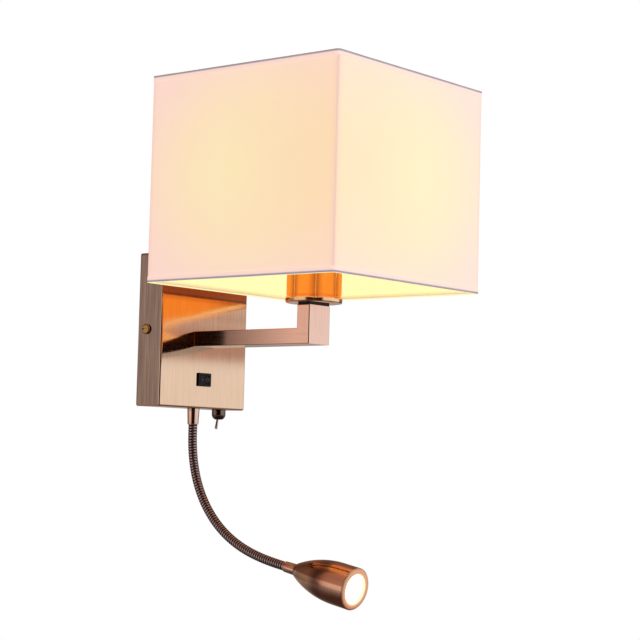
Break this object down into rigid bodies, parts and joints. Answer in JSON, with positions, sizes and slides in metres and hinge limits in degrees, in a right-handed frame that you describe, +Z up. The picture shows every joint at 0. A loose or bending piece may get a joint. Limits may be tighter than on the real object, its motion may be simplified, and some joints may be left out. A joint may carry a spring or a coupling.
{
  "type": "wall light",
  "caption": "Bedside wall light: open-backed box, upright arm, square fabric shade over a screw-base bulb, and a small reading light on a bending neck.",
  "frame": {"origin": "middle of the wall box's back, on the wall, halfway between the two wall-screw slots", "axes": "+X to the right seen from the room, +Y into the wall, +Z up; the lamp stands out along -Y"},
  "size_m": [0.1808, 0.2261, 0.3975],
  "materials": {
    "antique_copper": "steel, antique copper plated, brushed upright and lacquered",
    "polished_copper": "spun and turned, copper plated, polished",
    "head_copper": "spun aluminium, antique copper plated, lacquered",
    "bronze_strip": "wound steel strip, dark bronze plated",
    "bronze_nut": "turned, dark bronze plated",
    "bright_metal": "nickel plated, bright",
    "zinc_steel": "zinc plated",
    "brass": "plain turned or pressed",
    "black_plastic": "moulded, satin",
    "white_plastic": "moulded",
    "pvc_lead": "extruded sheath",
    "bulb_metal": "rolled screw cap",
    "opal_glass": "opal, lit warm white",
    "shade_cloth": "plain weave on a clear film, lit from inside",
    "shade_edging": "same cloth folded over the wire",
    "white_wire": "white powder coat",
    "lens_glass": "clear moulded lens, lit",
    "led_board": "white solder mask",
    "aluminium": "turned"
  },
  "bodies": {
    "lamp": {"wall_bracket": "zinc_steel", "plate_cover": "antique_copper", "cover_side_screws": "brass", "terminal_block": "white_plastic", "terminal_fixing_screw": "zinc_steel", "earth_screw": "brass", "led_driver": "white_plastic", "rocker_housing": "black_plastic", "rocker_terminals": "brass", "toggle_body": "black_plastic", "toggle_terminals": "brass", "toggle_bushing": "bright_metal", "toggle_dome_nut": "bronze_nut", "arm": "antique_copper", "arm_end_block": "zinc_steel", "arm_backing_plate": "zinc_steel", "arm_screws": "zinc_steel", "post_cap": "zinc_steel", "post_gasket": "black_plastic", "holder_nipple": "zinc_steel", "nipple_nut": "zinc_steel", "holder_cup": "polished_copper", "lampholder_body": "white_plastic", "lampholder_shell": "brass", "lampholder_contact": "brass", "bulb_cap": "bulb_metal", "bulb_collar": "white_plastic", "bulb_globe": "opal_glass", "arm_lead": "pvc_lead", "shade_fabric": "shade_cloth", "shade_trim_bottom": "shade_edging", "shade_trim_top": "shade_edging", "shade_bottom_wire": "white_wire", "shade_top_wire": "white_wire", "shade_corner_wires": "white_wire", "shade_carrier_ring": "zinc_steel", "shade_carrier_arms": "white_wire", "shade_ring_nut": "white_plastic", "neck_base_ferrule": "polished_copper", "neck_lock_nut": "zinc_steel"},
    "rocker": {"rocker_button": "black_plastic"},
    "toggle": {"toggle_lever": "bright_metal"},
    "neck_1": {"neck_link_1": "bronze_strip"},
    "neck_2": {"neck_link_2": "bronze_strip"},
    "neck_3": {"neck_link_3": "bronze_strip"},
    "neck_4": {"neck_link_4": "bronze_strip"},
    "neck_5": {"neck_link_5": "bronze_strip"},
    "neck_6": {"neck_link_6": "bronze_strip"},
    "neck_7": {"neck_link_7": "bronze_strip"},
    "neck_8": {"neck_link_8": "bronze_strip"},
    "reading_head": {"neck_link_9": "bronze_strip", "neck_end_ferrule": "polished_copper", "head_shell": "head_copper", "head_grub_screw": "zinc_steel", "head_front_ring": "head_copper", "head_lens": "lens_glass", "head_reflector": "bright_metal", "head_led_board": "led_board", "head_heat_sink": "aluminium"}
  },
  "joints": [
    {"name": "rocker_tilt", "type": "hinge", "parent": "lamp", "child": "rocker", "pos_m": [0, -0.0229, -0.0373], "axis": [0, 0, 1], "range_deg": [0, 20]},
    {"name": "toggle_tilt", "type": "hinge", "parent": "lamp", "child": "toggle", "pos_m": [0.0322, -0.013, -0.0618], "axis": [0, -1, 0], "range_deg": [0, 22]},
    {"name": "neck_turn", "type": "hinge", "parent": "lamp", "child": "neck_1", "pos_m": [0, -0.0148, -0.0728], "axis": [0, 0, 1], "range_deg": [-80, 80]},
    {"name": "neck_curl_1", "type": "hinge", "parent": "neck_1", "child": "neck_2", "pos_m": [0, -0.01528, -0.09099], "axis": [-1, 0, 0], "range_deg": [-7.08, 7.08]},
    {"name": "neck_curl_2", "type": "hinge", "parent": "neck_2", "child": "neck_3", "pos_m": [0, -0.01844, -0.10889], "axis": [-1, 0, 0], "range_deg": [-10.36, 10.36]},
    {"name": "neck_curl_3", "type": "hinge", "parent": "neck_3", "child": "neck_4", "pos_m": [0, -0.02495, -0.12585], "axis": [-1, 0, 0], "range_deg": [-11.3, 11.3]},
    {"name": "neck_curl_4", "type": "hinge", "parent": "neck_4", "child": "neck_5", "pos_m": [0, -0.03484, -0.14108], "axis": [-1, 0, 0], "range_deg": [-11.3, 11.3]},
    {"name": "neck_curl_5", "type": "hinge", "parent": "neck_5", "child": "neck_6", "pos_m": [0, -0.04769, -0.15393], "axis": [-1, 0, 0], "range_deg": [-10.83, 10.83]},
    {"name": "neck_curl_6", "type": "hinge", "parent": "neck_6", "child": "neck_7", "pos_m": [0, -0.06284, -0.16396], "axis": [-1, 0, 0], "range_deg": [-9.43, 9.43]},
    {"name": "neck_curl_7", "type": "hinge", "parent": "neck_7", "child": "neck_8", "pos_m": [0, -0.07951, -0.17121], "axis": [-1, 0, 0], "range_deg": [-7.08, 7.08]},
    {"name": "neck_curl_8", "type": "hinge", "parent": "neck_8", "child": "reading_head", "pos_m": [0, -0.097, -0.17622], "axis": [-1, 0, 0], "range_deg": [-3.75, 3.75]}
  ],
  "couplings": [
    {"joint": "neck_curl_1", "follows": "neck_curl_8", "ratio": 1.875},
    {"joint": "neck_curl_2", "follows": "neck_curl_8", "ratio": 2.75},
    {"joint": "neck_curl_3", "follows": "neck_curl_8", "ratio": 3},
    {"joint": "neck_curl_4", "follows": "neck_curl_8", "ratio": 3},
    {"joint": "neck_curl_5", "follows": "neck_curl_8", "ratio": 2.875},
    {"joint": "neck_curl_6", "follows": "neck_curl_8", "ratio": 2.5},
    {"joint": "neck_curl_7", "follows": "neck_curl_8", "ratio": 1.875}
  ]
}
